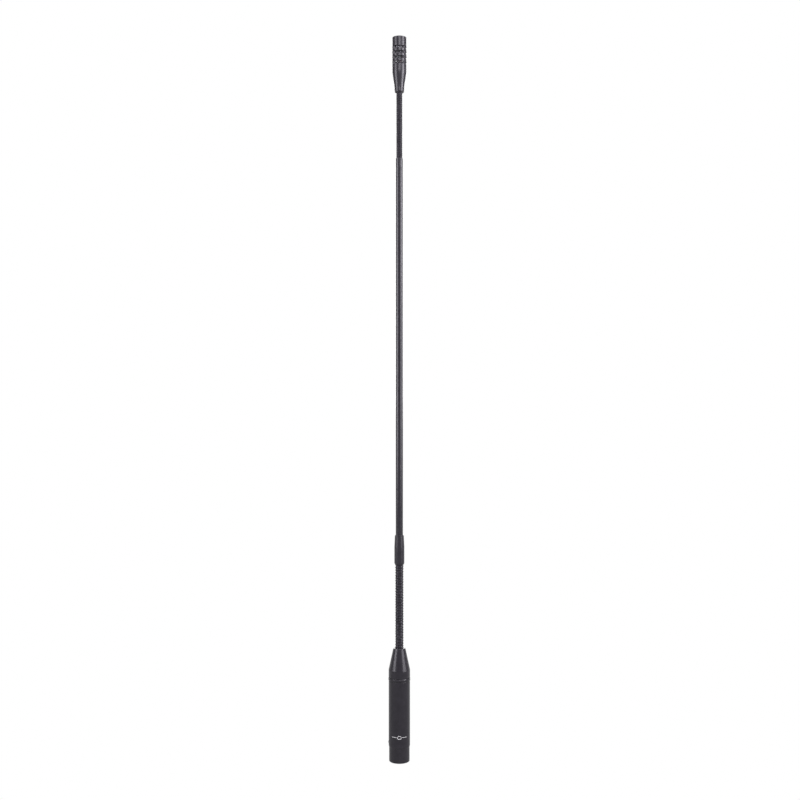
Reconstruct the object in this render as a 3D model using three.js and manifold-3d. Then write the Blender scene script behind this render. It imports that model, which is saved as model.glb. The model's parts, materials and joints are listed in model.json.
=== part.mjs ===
// A gooseneck podium microphone with an XLR plug at its foot: a housing with its output
// amplifier, a lower flexible neck, a rigid stem tube, an upper flexible neck and a slotted head.
//
// Lengths are in millimetres. The origin is the centre of the plug's rim, +Z runs along the
// microphone to its head, and -Y is its front. Each neck is a chain of short links: the links
// hinge on one another in turn about Y (sway) and about X (nod), at the pivots worked out below.
import * as THREE from "three";
import { mergeVertices } from "three/addons/utils/BufferGeometryUtils.js";
import Module from "manifold-3d";

const wasm = await Module();
wasm.setup();

// ---------------------------------------------------------------- driving dimensions
const CLEARANCE = 0.3; // between pieces that touch
const COARSE = 12; // sides of a neck link
const SMALL = 16; // sides of a pin, ferrule or other small round piece
const MEDIUM = 24; // sides of a head piece
const ROUND = 32; // sides of a housing piece

const PLUG = { radius: 9.5, bore: 8.2, edge: 0.5, top: 13 };
const BODY = { radius: 9.9, bore: 8.6, shoulder: 14.9, step: 24, top: 74.9 };
const INSERT = { radius: PLUG.bore - CLEARANCE, bottom: 13.9, top: 22 };
const PIN = { radius: 1.2, pitch: 3.81, tip: 2.6, tail: 26, cupRadius: 0.75, cupDepth: 2.4 };
const SCREW = { radius: 1.2, z: 17.7, outer: 10.15, inner: 6.2, slotWidth: 0.5, slotDepth: 0.6 };
const EARTH = { width: 2.2, thickness: 0.3, pocketWidth: 2.8, pocketDepth: 0.9 };
const RING = { radius: 10.2, crest: 76.3 };
const CONE = {
  radius: 9.95,
  bottom: 77.9,
  edge: 84.8,
  top: 104.9,
  topRadius: 5.6,
  bevel: 0.5,
  mouthRadius: 4.4,
  mouthDepth: 1.5,
  spigotBottom: 69,
  cavity: 7.2,
  seat: 92.3,
};
const BOARD = { width: 12.4, thickness: 1.2, bottom: 30, top: 68 };
const CAPACITOR = { radius: 2, length: 7, firstZ: 45, pitch: 9 };
const TRANSISTOR = { width: 4.6, depth: 3.6, length: 4.6, legLength: 3, firstZ: 34, pitch: 7.5 };
const LEAD_RADIUS = 0.5;
const CABLE = { radius: 1.1, bore: 1.6, start: 60, end: 645.5 };

const LOWER_NECK = { radius: 3.65, bottom: CONE.top, top: 182.5, pivots: 12, bend: 12.5 };
const COUPLER = {
  radius: 4.65,
  endRadius: 4.15,
  chamfer: 1.4,
  taperFrom: 198.2,
  step: 194.5,
  top: 209.9,
};
const STEM = { radius: 3.35, wall: 0.5, bottom: 194.8, top: 559.9, rim: 0.15 };
const UPPER_NECK = { radius: 2.75, bottom: STEM.top, top: 621.5, pivots: 10, bend: 15 };
const PIVOT_INSET = 1.5; // from a neck's visible end to its first or last pivot
const LOCK_RING = { thickness: 2.8, notch: 1.6 };
const FERRULE = { flange: 1.75, flangeHeight: 2.1, lowerLength: 22, upperLength: 15 };

const HEAD = {
  radius: 6.8,
  collarRadius: 4.65,
  collarChamfer: 1.3,
  taperFrom: 624,
  taperTo: 641.5,
  taperSteps: 8,
  top: 672.3,
  edge: 0.45,
  wall: 1.1,
  seat: 634,
  throat: 4.5,
  throatTop: 638,
  boreFrom: 643,
  rebate: 670.1,
  rebateRadius: 6.05,
};
// Saw cuts across the barrel, in rows, each as deep as it takes to leave three bridges.
const SLOT = { height: 2.5, pitch: 4.75, firstZ: 648.1, rows: 4, perRow: 3, chord: 4.2, firstAngle: -95 };
const SLOT_MESH = { outer: 5.4, inner: 5.1, bottom: 645, top: 664.6 };
const CAPSULE = { radius: 4.6, bottom: 659, top: 668.4, lip: 0.5, portRadius: 3.2, portDepth: 0.8 };
const GASKET = { outer: 5.4, inner: 4.9, bottom: 665.2, top: 668.2 };
const CAPSULE_BOARD = { radius: 4.4, thickness: 1, bottom: 655.2 };
const FOAM = { radius: 5.35, bottom: 668.8, top: 669.8 };
const GRILLE = { radius: 5.7, bottom: 670.4, top: 670.7 };
const GRILLE_RING = { outer: 5.75, inner: 4.9, bottom: 671, top: 672.1 };

// ---------------------------------------------------------------- finishes
const finish = (color, roughness, metalness) => () =>
  new THREE.MeshStandardMaterial({ color, roughness, metalness });
const satinBlack = finish(0x232226, 0.45, 0.6);
const neckBlack = finish(0x1e1d20, 0.4, 0.7);
const nickel = finish(0xb9b6ae, 0.25, 1);
const brass = finish(0xc8a24a, 0.3, 1);
const blackPlastic = finish(0x18181a, 0.6, 0);
const greenBoard = finish(0x1f5a34, 0.5, 0);
const blueSleeve = finish(0x1d2f66, 0.4, 0.1);
const redWire = finish(0x8c1c1c, 0.5, 0);
const whiteWire = finish(0xd8d6d0, 0.5, 0);
const greyCable = finish(0x3a3a3d, 0.6, 0);
const blackRubber = finish(0x101012, 0.8, 0);
const darkMesh = finish(0x3b3b3e, 0.5, 0.8);
const darkFoam = finish(0x1b1b1d, 1, 0);

// ---------------------------------------------------------------- shape helpers
const radians = THREE.MathUtils.degToRad;

// A solid of revolution about +Z. The outline is [radius, z] points, up its outer side.
function lathe(outline, sides) {
  const points = outline.map(([radius, z]) => new THREE.Vector2(radius, z));
  return new THREE.LatheGeometry(points, sides).rotateX(Math.PI / 2);
}

// A ring of revolution: its outline closes on itself.
function ring(outline, sides) {
  return lathe([...outline, outline[0]], sides);
}

// A plain collar between two radii.
function collar({ outer, inner, bottom, top }, sides) {
  return ring([[inner, bottom], [outer, bottom], [outer, top], [inner, top]], sides);
}

function rod(radius, bottom, top, sides) {
  return lathe([[0, bottom], [radius, bottom], [radius, top], [0, top]], sides);
}

function block(width, depth, height, x, y, z) {
  return new THREE.BoxGeometry(width, depth, height).translate(x, y, z);
}

// A round wire of that radius along a smooth curve through the points.
function wire(points, radius, steps) {
  const section = new THREE.Shape().absarc(0, 0, radius, 0, 2 * Math.PI);
  const extrudePath = new THREE.CatmullRomCurve3(points.map((p) => new THREE.Vector3(...p)));
  return new THREE.ExtrudeGeometry(section, { extrudePath, steps, curveSegments: 4 });
}

// A closed geometry as a solid that can be joined and cut, and back.
function toSolid(geometry) {
  const bare = geometry.clone();
  bare.deleteAttribute("normal");
  bare.deleteAttribute("uv");
  const merged = mergeVertices(bare, 1e-4);
  return new wasm.Manifold(
    new wasm.Mesh({
      numProp: 3,
      vertProperties: new Float32Array(merged.attributes.position.array),
      triVerts: new Uint32Array(merged.index.array),
    }),
  );
}

function toGeometry(solid) {
  const mesh = solid.getMesh();
  return new THREE.BufferGeometry()
    .setAttribute("position", new THREE.BufferAttribute(mesh.vertProperties, 3))
    .setIndex(new THREE.BufferAttribute(mesh.triVerts, 1));
}

function cut(geometry, ...tools) {
  return toGeometry(tools.reduce((solid, tool) => solid.subtract(toSolid(tool)), toSolid(geometry)));
}

function join(geometry, ...others) {
  return toGeometry(others.reduce((solid, other) => solid.add(toSolid(other)), toSolid(geometry)));
}

function piece(name, geometry, material) {
  const mesh = new THREE.Mesh(geometry, material());
  mesh.name = name;
  return mesh;
}

function assembly(...pieces) {
  const group = new THREE.Group();
  group.add(...pieces.flat());
  return group;
}

// ---------------------------------------------------------------- necks
function pivotsOf(neck) {
  const first = neck.bottom + PIVOT_INSET;
  const last = neck.top - PIVOT_INSET;
  const step = (last - first) / (neck.pivots - 1);
  return Array.from({ length: neck.pivots }, (_, i) => first + i * step);
}

// How far a neck piece's end face lies from its pivot: the face is a cone, so that two
// neighbours bent to their limit still clear each other all round.
function faceOffset(neck, radius) {
  return CLEARANCE / 2 + radius * Math.tan(radians(neck.bend / 2 + 0.5));
}

function neckLink(neck, below, above) {
  const atBore = faceOffset(neck, CABLE.bore);
  const atRim = faceOffset(neck, neck.radius);
  return ring(
    [
      [CABLE.bore, below + atBore],
      [neck.radius, below + atRim],
      [neck.radius, above - atRim],
      [CABLE.bore, above - atBore],
    ],
    COARSE,
  );
}

function neckLinks(name, neck) {
  const pivots = pivotsOf(neck);
  return pivots
    .slice(1)
    .map((above, i) => piece(`${name}_link_${i + 1}`, neckLink(neck, pivots[i], above), neckBlack));
}

// The swaged end of a neck below its first pivot: a tube with a flange that a seat holds.
function bottomFerrule(neck, tubeRadius, bottom, flangeTop) {
  const pivot = pivotsOf(neck)[0];
  const neckFrom = neck.bottom + CLEARANCE;
  const flangeRadius = tubeRadius + FERRULE.flange;
  const flange = flangeTop
    ? [
        [tubeRadius, flangeTop - FERRULE.flangeHeight],
        [flangeRadius, flangeTop - FERRULE.flangeHeight],
        [flangeRadius, flangeTop],
        [tubeRadius, flangeTop],
      ]
    : [];
  const step = tubeRadius < neck.radius ? [[tubeRadius, neckFrom], [neck.radius, neckFrom]] : [];
  return ring(
    [
      [CABLE.bore, bottom],
      [tubeRadius, bottom],
      ...flange,
      ...step,
      [neck.radius, pivot - faceOffset(neck, neck.radius)],
      [CABLE.bore, pivot - faceOffset(neck, CABLE.bore)],
    ],
    SMALL,
  );
}

// The same above its last pivot.
function topFerrule(neck, top, flangeBottom) {
  const pivot = pivotsOf(neck).at(-1);
  const flangeRadius = neck.radius + FERRULE.flange / 2;
  const flange = flangeBottom
    ? [
        [neck.radius, flangeBottom],
        [flangeRadius, flangeBottom],
        [flangeRadius, flangeBottom + FERRULE.flangeHeight],
        [neck.radius, flangeBottom + FERRULE.flangeHeight],
      ]
    : [];
  return ring(
    [
      [CABLE.bore, pivot + faceOffset(neck, CABLE.bore)],
      [neck.radius, pivot + faceOffset(neck, neck.radius)],
      ...flange,
      [neck.radius, top],
      [CABLE.bore, top],
    ],
    SMALL,
  );
}

// The signal cable, in lengths that meet at the necks' end pivots.
function straightCable(bottom, top) {
  return rod(CABLE.radius, bottom + CLEARANCE / 2, top - CLEARANCE / 2, 8);
}

// ---------------------------------------------------------------- housing
const pinPlaces = [
  [-PIN.pitch, 0],
  [PIN.pitch, 0],
  [0, PIN.pitch],
];

function screwHole(fromX, toX, radius) {
  const length = toX - fromX;
  return new THREE.CylinderGeometry(radius, radius, length, SMALL)
    .rotateZ(Math.PI / 2)
    .translate(fromX + length / 2, 0, SCREW.z);
}

function bodyTube() {
  const shell = ring(
    [
      [PLUG.bore, 0],
      [PLUG.radius - PLUG.edge, 0],
      [PLUG.radius, PLUG.edge],
      [PLUG.radius, PLUG.top],
      [BODY.radius, BODY.shoulder],
      [BODY.radius, BODY.top],
      [BODY.bore, BODY.top],
      [BODY.bore, BODY.step],
      [PLUG.bore, BODY.step],
    ],
    ROUND,
  );
  return cut(shell, screwHole(-BODY.radius - 1, -INSERT.radius, SCREW.radius + CLEARANCE));
}

function xlrInsert() {
  const pinHoles = pinPlaces.map(([x, y]) =>
    rod(PIN.radius + CLEARANCE, INSERT.bottom - 1, INSERT.top + 1, SMALL).translate(x, y, 0),
  );
  const height = INSERT.top - INSERT.bottom + 2;
  const pocketY = -INSERT.radius + EARTH.pocketDepth / 2;
  const earthPocket = block(
    EARTH.pocketWidth,
    EARTH.pocketDepth + 1,
    height,
    0,
    pocketY - 0.5,
    (INSERT.bottom + INSERT.top) / 2,
  );
  const screwSeat = screwHole(-INSERT.radius - 1, -SCREW.inner + CLEARANCE, SCREW.radius + CLEARANCE);
  return cut(rod(INSERT.radius, INSERT.bottom, INSERT.top, ROUND), ...pinHoles, earthPocket, screwSeat);
}

// A contact pin with a rounded tip and a hollow solder tail.
function contactPin(x, y) {
  const tipSteps = 3;
  const tip = Array.from({ length: tipSteps + 1 }, (_, i) => {
    const angle = (i / tipSteps) * (Math.PI / 2);
    return [PIN.radius * Math.sin(angle), PIN.tip + PIN.radius * (1 - Math.cos(angle))];
  });
  const cupFloor = PIN.tail - PIN.cupDepth;
  return lathe(
    [...tip, [PIN.radius, PIN.tail], [PIN.cupRadius, PIN.tail], [PIN.cupRadius, cupFloor], [0, cupFloor]],
    SMALL,
  ).translate(x, y, 0);
}

// A spring strip between the insert and the body tube, which earths the body.
function earthContact() {
  const height = INSERT.top - INSERT.bottom - 1;
  const y = -INSERT.radius + EARTH.thickness;
  const middle = (INSERT.bottom + INSERT.top) / 2;
  const strip = block(EARTH.width, EARTH.thickness, height, 0, y, middle);
  const dimple = block(EARTH.width / 2, 0.3, height / 3, 0, y - 0.25, middle);
  return join(strip, dimple);
}

function insertScrew() {
  const shank = screwHole(-SCREW.outer, -SCREW.inner, SCREW.radius);
  const slotX = -SCREW.outer + SCREW.slotDepth / 2 - 0.5;
  const slot = block(SCREW.slotDepth + 1, 2 * SCREW.radius + 1, SCREW.slotWidth, slotX, 0, SCREW.z);
  return cut(shank, slot);
}

function trimRing() {
  const bottom = BODY.top + CLEARANCE;
  const top = CONE.bottom - CLEARANCE;
  const shoulder = 0.7;
  return ring(
    [
      [BODY.bore, bottom],
      [CONE.radius, bottom],
      [RING.radius, RING.crest - shoulder],
      [RING.radius, RING.crest + shoulder],
      [CONE.radius, top],
      [BODY.bore, top],
    ],
    ROUND,
  );
}

function cone() {
  const spigotRadius = BODY.bore - CLEARANCE;
  const bore = LOWER_NECK.radius + CLEARANCE;
  return ring(
    [
      [CONE.cavity, CONE.spigotBottom],
      [spigotRadius, CONE.spigotBottom],
      [spigotRadius, CONE.bottom],
      [CONE.radius, CONE.bottom],
      [CONE.radius, CONE.edge],
      [CONE.topRadius, CONE.top - CONE.bevel],
      [CONE.topRadius - CONE.bevel, CONE.top],
      [CONE.mouthRadius, CONE.top],
      [CONE.mouthRadius, CONE.top - CONE.mouthDepth],
      [bore, CONE.top - CONE.mouthDepth],
      [bore, CONE.seat],
      [CONE.cavity, CONE.seat],
    ],
    ROUND,
  );
}

// A threaded ring that presses the lower neck's flange up against the seat in the cone.
function neckLockRing() {
  const top = CONE.seat - 2 * CLEARANCE - FERRULE.flangeHeight;
  const bottom = top - LOCK_RING.thickness;
  const outer = CONE.cavity - CLEARANCE;
  const body = collar({ outer, inner: LOWER_NECK.radius + CLEARANCE, bottom, top }, SMALL);
  const notch = block(3 * outer, LOCK_RING.notch, 1.2, 0, 0, bottom);
  return cut(body, notch);
}

function preampBoard() {
  const height = BOARD.top - BOARD.bottom;
  const middle = (BOARD.bottom + BOARD.top) / 2;
  return block(BOARD.width, BOARD.thickness, height, 0, 0, middle);
}

// A radial capacitor lying along the board, with the crimp of its can.
function capacitor(index) {
  const { radius, length, firstZ, pitch } = CAPACITOR;
  const bottom = firstZ + index * pitch;
  const crimp = 0.35;
  const offset = BOARD.thickness / 2 + CLEARANCE + radius;
  return lathe(
    [
      [0, bottom],
      [radius, bottom],
      [radius, bottom + length - 2],
      [radius - crimp, bottom + length - 1.5],
      [radius, bottom + length - 1],
      [radius, bottom + length],
      [0, bottom + length],
    ],
    SMALL,
  ).translate(0, offset, 0);
}

// A transistor with one flat side, on three legs that reach down to the board.
function transistor(index) {
  const { width, depth, length, legLength, firstZ, pitch } = TRANSISTOR;
  const middleZ = firstZ + index * pitch;
  const face = BOARD.thickness / 2 + CLEARANCE;
  const outline = new THREE.Shape();
  outline.absarc(0, 0, width / 2, radians(-40), radians(220));
  outline.closePath();
  const body = new THREE.ExtrudeGeometry(outline, { depth: length, bevelEnabled: false, curveSegments: 5 })
    .translate(0, 0, middleZ - length / 2)
    .rotateZ(Math.PI)
    .translate(0, -face - depth / 2 - 0.4, 0);
  const legs = [-1.27, 0, 1.27].map((x) =>
    block(0.45, 0.45, legLength, x, -face - 1.4, middleZ - length / 2 - legLength / 2 + 0.1),
  );
  return join(body, ...legs);
}

// A lead from a pin's tail, bent over to the board's back.
function pinLead([x, y], index) {
  const start = PIN.tail + CLEARANCE;
  const side = y === 0 ? Math.sign(x) : 0;
  const face = BOARD.thickness / 2 + CLEARANCE + LEAD_RADIUS;
  const boardX = side * 3.6;
  const points = [
    [x, y, start],
    [x, (y + face) / 2, start + 1.4],
    [boardX, face + 0.2, BOARD.bottom - 0.6],
    [boardX, face, BOARD.bottom + 4],
  ];
  const material = [whiteWire, redWire, blackPlastic][index];
  return piece(`pin_lead_${index + 1}`, wire(points, LEAD_RADIUS, 10), material);
}

// The cable's soldered end lies on the board's front, and the rest runs up the middle.
function cableInHousing() {
  const side = -(BOARD.thickness / 2 + CLEARANCE + CABLE.radius);
  const top = pivotsOf(LOWER_NECK)[0] - CLEARANCE / 2;
  const points = [
    [0, side, CABLE.start],
    [0, side, BOARD.top],
    [0, side * 0.5, BOARD.top + 5],
    [0, 0, BOARD.top + 11],
    [0, 0, CONE.seat],
    [0, 0, top],
  ];
  return wire(points, CABLE.radius, 20);
}

function lowerNeckBottomFerrule() {
  const bottom = CONE.top - FERRULE.lowerLength;
  return bottomFerrule(LOWER_NECK, LOWER_NECK.radius, bottom, CONE.seat - CLEARANCE);
}

function housing() {
  return assembly(
    piece("body_tube", bodyTube(), satinBlack),
    piece("xlr_insert", xlrInsert(), blackPlastic),
    pinPlaces.map(([x, y], i) => piece(`xlr_pin_${i + 1}`, contactPin(x, y), nickel)),
    piece("earth_contact", earthContact(), nickel),
    piece("insert_screw", insertScrew(), satinBlack),
    piece("trim_ring", trimRing(), satinBlack),
    piece("cone", cone(), satinBlack),
    piece("neck_lock_ring", neckLockRing(), brass),
    piece("lower_neck_bottom_ferrule", lowerNeckBottomFerrule(), neckBlack),
    piece("preamp_board", preampBoard(), greenBoard),
    [0, 1].map((i) =>
      piece(`coupling_capacitor_${i + 1}`, capacitor(i), blueSleeve),
    ),
    [0, 1].map((i) =>
      piece(`output_transistor_${i + 1}`, transistor(i), blackPlastic),
    ),
    pinPlaces.map(pinLead),
    piece("cable_in_housing", cableInHousing(), greyCable),
  );
}

// ---------------------------------------------------------------- stem
function coupler() {
  const bore = LOWER_NECK.radius + CLEARANCE;
  const tubeBore = STEM.radius + CLEARANCE;
  return ring(
    [
      [bore, LOWER_NECK.top],
      [COUPLER.endRadius, LOWER_NECK.top],
      [COUPLER.radius, LOWER_NECK.top + COUPLER.chamfer],
      [COUPLER.radius, COUPLER.taperFrom],
      [COUPLER.endRadius, COUPLER.top],
      [tubeBore, COUPLER.top],
      [tubeBore, COUPLER.step],
      [bore, COUPLER.step],
    ],
    SMALL,
  );
}

function stemTube() {
  const inner = STEM.radius - STEM.wall;
  return ring(
    [
      [inner, STEM.bottom],
      [STEM.radius, STEM.bottom],
      [STEM.radius, STEM.top - STEM.rim],
      [STEM.radius - STEM.rim, STEM.top],
      [inner, STEM.top],
    ],
    SMALL,
  );
}

function upperNeckBottomFerrule() {
  const radius = STEM.radius - STEM.wall - CLEARANCE;
  return bottomFerrule(UPPER_NECK, radius, STEM.top - FERRULE.upperLength);
}

function stem() {
  const cableBottom = pivotsOf(LOWER_NECK).at(-1);
  const cableTop = pivotsOf(UPPER_NECK)[0];
  return assembly(
    piece("lower_neck_top_ferrule", topFerrule(LOWER_NECK, COUPLER.step - CLEARANCE), neckBlack),
    piece("coupler", coupler(), satinBlack),
    piece("stem_tube", stemTube(), satinBlack),
    piece("upper_neck_bottom_ferrule", upperNeckBottomFerrule(), neckBlack),
    piece("cable_in_stem", straightCable(cableBottom, cableTop), greyCable),
  );
}

// ---------------------------------------------------------------- head
// The outline swells from the collar to the barrel along a smooth S.
function headTaper() {
  return Array.from({ length: HEAD.taperSteps + 1 }, (_, i) => {
    const t = i / HEAD.taperSteps;
    const radius = THREE.MathUtils.lerp(HEAD.collarRadius, HEAD.radius, THREE.MathUtils.smoothstep(t, 0, 1));
    return [radius, THREE.MathUtils.lerp(HEAD.taperFrom, HEAD.taperTo, t)];
  });
}

function headHousing() {
  const bore = HEAD.radius - HEAD.wall;
  const collarBore = UPPER_NECK.radius + CLEARANCE;
  const shell = ring(
    [
      [collarBore, UPPER_NECK.top],
      [HEAD.collarRadius - 0.35, UPPER_NECK.top],
      [HEAD.collarRadius, UPPER_NECK.top + HEAD.collarChamfer],
      ...headTaper(),
      [HEAD.radius, HEAD.top - HEAD.edge],
      [HEAD.radius - HEAD.edge, HEAD.top],
      [HEAD.rebateRadius, HEAD.top],
      [HEAD.rebateRadius, HEAD.rebate],
      [bore, HEAD.rebate],
      [bore, HEAD.boreFrom],
      [HEAD.throat, HEAD.throatTop],
      [HEAD.throat, HEAD.seat],
      [collarBore, HEAD.seat],
    ],
    MEDIUM,
  );
  return cut(shell, ...slotCuts());
}

function slotCuts() {
  const size = 4 * HEAD.radius;
  const cuts = [];
  for (let row = 0; row < SLOT.rows; row += 1) {
    for (let side = 0; side < SLOT.perRow; side += 1) {
      const angle = radians(SLOT.firstAngle + (360 / SLOT.perRow) * side);
      const z = SLOT.firstZ + row * SLOT.pitch;
      cuts.push(block(size, size, SLOT.height, SLOT.chord + size / 2, 0, z).rotateZ(angle));
    }
  }
  return cuts;
}

// The electret cartridge: a can with a lipped front and a sound port.
function capsule() {
  const { radius, bottom, top, lip, portRadius, portDepth } = CAPSULE;
  return lathe(
    [
      [0, bottom],
      [radius - lip, bottom],
      [radius, bottom + lip],
      [radius, top - lip],
      [radius - lip, top],
      [portRadius, top],
      [portRadius, top - portDepth],
      [0, top - portDepth],
    ],
    SMALL,
  );
}

function capsuleLead(side) {
  const top = CAPSULE_BOARD.bottom - CLEARANCE;
  const bottom = CABLE.end + CLEARANCE;
  const middle = (bottom + top) / 2;
  const start = [side * 0.75, 0, bottom];
  const end = [side * 2.4, 0, top];
  return wire([start, [side * 1.2, 0, middle - 1.5], [side * 2.2, 0, middle + 1.5], end], 0.4, 8);
}

function upperNeckTopFerrule() {
  const flangeBottom = HEAD.seat + CLEARANCE;
  return topFerrule(UPPER_NECK, flangeBottom + FERRULE.flangeHeight + 1, flangeBottom);
}

function capsuleBoard() {
  const { radius, bottom, thickness } = CAPSULE_BOARD;
  return rod(radius, bottom, bottom + thickness, SMALL);
}

function head() {
  const cableBottom = pivotsOf(UPPER_NECK).at(-1);
  return assembly(
    piece("upper_neck_top_ferrule", upperNeckTopFerrule(), neckBlack),
    piece("head_housing", headHousing(), satinBlack),
    piece("slot_mesh", collar(SLOT_MESH, MEDIUM), darkMesh),
    piece("capsule", capsule(), nickel),
    piece("capsule_gasket", collar(GASKET, SMALL), blackRubber),
    piece("capsule_board", capsuleBoard(), greenBoard),
    piece("capsule_lead_1", capsuleLead(-1), whiteWire),
    piece("capsule_lead_2", capsuleLead(1), redWire),
    piece("wind_foam", rod(FOAM.radius, FOAM.bottom, FOAM.top, SMALL), darkFoam),
    piece("front_grille", rod(GRILLE.radius, GRILLE.bottom, GRILLE.top, MEDIUM), darkMesh),
    piece("grille_ring", collar(GRILLE_RING, MEDIUM), satinBlack),
    piece("cable_in_head", straightCable(cableBottom, CABLE.end + CLEARANCE / 2), greyCable),
  );
}

// ---------------------------------------------------------------- the microphone
function neckCable(name, neck) {
  const pivots = pivotsOf(neck);
  return piece(name, straightCable(pivots[0], pivots.at(-1)), greyCable);
}

const microphone = assembly(
  housing(),
  neckLinks("lower_neck", LOWER_NECK),
  neckCable("cable_in_lower_neck", LOWER_NECK),
  stem(),
  neckLinks("upper_neck", UPPER_NECK),
  neckCable("cable_in_upper_neck", UPPER_NECK),
  head(),
);

export default microphone;
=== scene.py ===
"""Looks of a gooseneck podium microphone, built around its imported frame.

Blender's units are metres, +Z runs up the microphone and -Y is its front. Outlines are written in
millimetres, as (radius, height) or (radius, height, corner radius) points.
"""

import json
import math

import bmesh
import bpy
from mathutils import Matrix, Vector

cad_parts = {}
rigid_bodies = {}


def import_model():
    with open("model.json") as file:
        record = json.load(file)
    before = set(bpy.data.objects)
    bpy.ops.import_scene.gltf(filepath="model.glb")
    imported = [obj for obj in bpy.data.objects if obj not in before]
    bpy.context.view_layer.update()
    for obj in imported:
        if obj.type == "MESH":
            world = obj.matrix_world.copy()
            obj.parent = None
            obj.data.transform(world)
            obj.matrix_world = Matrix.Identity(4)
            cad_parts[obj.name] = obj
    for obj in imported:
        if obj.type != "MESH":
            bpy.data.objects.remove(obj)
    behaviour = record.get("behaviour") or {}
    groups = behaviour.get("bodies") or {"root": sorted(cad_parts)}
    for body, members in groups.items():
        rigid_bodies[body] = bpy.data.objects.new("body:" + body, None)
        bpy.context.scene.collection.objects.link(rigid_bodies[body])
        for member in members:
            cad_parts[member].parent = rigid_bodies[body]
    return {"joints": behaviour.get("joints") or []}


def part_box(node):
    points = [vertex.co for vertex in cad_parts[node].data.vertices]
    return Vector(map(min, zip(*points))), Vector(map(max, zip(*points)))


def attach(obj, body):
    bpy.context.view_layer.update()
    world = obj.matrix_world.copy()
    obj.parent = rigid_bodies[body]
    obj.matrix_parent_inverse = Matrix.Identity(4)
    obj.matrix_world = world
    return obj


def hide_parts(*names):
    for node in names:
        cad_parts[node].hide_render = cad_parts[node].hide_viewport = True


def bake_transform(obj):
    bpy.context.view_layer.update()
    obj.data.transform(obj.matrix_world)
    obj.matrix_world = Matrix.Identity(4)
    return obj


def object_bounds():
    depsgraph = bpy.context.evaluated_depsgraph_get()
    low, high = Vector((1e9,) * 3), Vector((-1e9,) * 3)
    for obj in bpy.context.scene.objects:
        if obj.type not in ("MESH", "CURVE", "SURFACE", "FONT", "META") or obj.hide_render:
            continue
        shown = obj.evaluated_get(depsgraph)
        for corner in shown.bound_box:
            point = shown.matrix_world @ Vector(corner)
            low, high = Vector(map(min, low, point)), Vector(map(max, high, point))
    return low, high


MM = 0.001
TURN = 2 * math.pi
FINE = 96  # sides of a turned piece that shows
PLAIN = 48  # sides of a small or hidden round piece
WIRE_SIDES = 20
CORNER_STEPS = 4  # facets of a rounded corner
WEAR_AND_HIGHLIGHT_RADIUS = 1.0  # corners sharper than this are rubbed and carry a painted highlight
SHARP = math.radians(38)  # edges over this angle stay sharp

# ---------------------------------------------------------------- driving dimensions, millimetres
PLUG = {"radius": 9.5, "bore": 8.2, "top": 13.0, "shoulder": 14.9, "step": 24.0}
BODY_BORE = 8.6
SCREW_HOLE = 1.5
PIN_HOLE = 1.28
PIN_CUP = {"wall": 0.4, "depth": 2.4, "opening": 0.2}
INSERT = {"face": 6.6, "rim": 6.9, "sunk": 0.5, "boss": 2.05, "boss_foot": 2.2, "screw_seat": 5.9}
EARTH = {"width": 2.2, "thickness": 0.3, "contact": 1.1, "contact_thickness": 0.35}
EARTH_POCKET = {"width": 2.8, "depth": 1.2}
TRIM_CREST = 1.5
CONE = {"edge": 84.8, "top_radius": 5.6, "mouth": 4.4, "mouth_depth": 1.5, "cavity": 7.2, "seat": 92.3}
COUPLER = {"end": 4.15, "chamfer": 1.4, "taper_from": 198.2, "step": 194.5, "tube_bore": 3.65}
NECK_SEAT_BORE = 3.95  # in the cone and the coupler
STEM_WALL = 0.36
NECK_BORE = 1.6
BORE_SIDES = 24
NECK_STEP = 1.1  # between the rings of a neck piece
NECK_TAIL = 1.4  # how much further the winding runs into its seat
CABLE_RADIUS = 1.1
FERRULE_RADIUS = {"lower_neck_bottom": 3.65, "lower_neck_top": 3.65, "upper_neck_bottom": 2.55,
                  "upper_neck_top": 2.75}
FLANGE = {"gap": 0.3, "height": 2.1}
LOWER_NECK = {"name": "lower_neck", "radius": 3.92, "pitch": 2.47}
UPPER_NECK = {"name": "upper_neck", "radius": 2.96, "pitch": 1.9}
# the two wires of a winding, as shares of its pitch
WIDE_WIRE = {"middle": 0.31, "half": 0.29, "steps": 6}
ROUND_WIRE = {"middle": 0.81, "radius": 0.17, "sunk": 0.1, "arc": 0.92, "steps": 4}
HEAD = {"collar": 4.65, "taper_from": 624.0, "taper_to": 641.5, "wall": 1.1, "seat": 634.0, "throat": 4.5,
        "throat_top": 638.0, "bore_from": 643.0, "rebate": 670.1, "rebate_radius": 6.05, "neck_bore": 3.05}
SLOT = {"height": 2.5, "pitch": 4.75, "first": 648.1, "rows": 4, "chord": 4.2, "angles": (-95, 25, 145),
        "edge": 0.25}
GAUZE = {"pitch": 0.42, "wire": 0.085}
FRONT_GAUZE = {"pitch": 0.55, "wire": 0.08, "rim": 0.14}
RING_BORE = 4.9  # of the capsule's gasket and of the ring that holds the front gauze
CAPSULE = {"port": 3.2, "sunk": 0.8, "hole": 0.4, "hole_depth": 0.6, "hole_circle": 1.9, "holes": 6}
BOARD_GAP = 0.3  # between the circuit board and what lies on it
TRANSISTOR = {"flat": 40, "leg": 0.45, "leg_pitch": 1.27, "leg_inset": 1.4}
PIN_LEAD = {"radius": 0.5, "spread": 3.6}
CAPSULE_LEAD = {"radius": 0.4, "start": 0.75, "end": 2.4}
MARK = {"z": 24.4, "stroke": 0.42, "line": 4.9, "size": 3.4, "gap": 0.9, "thickness": 0.015}

# ---------------------------------------------------------------- camera, light and stage, metres
CAMERA = {"place": (0.0006, -0.986, 0.3354), "lens": 47.7, "sensor": 36}
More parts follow.
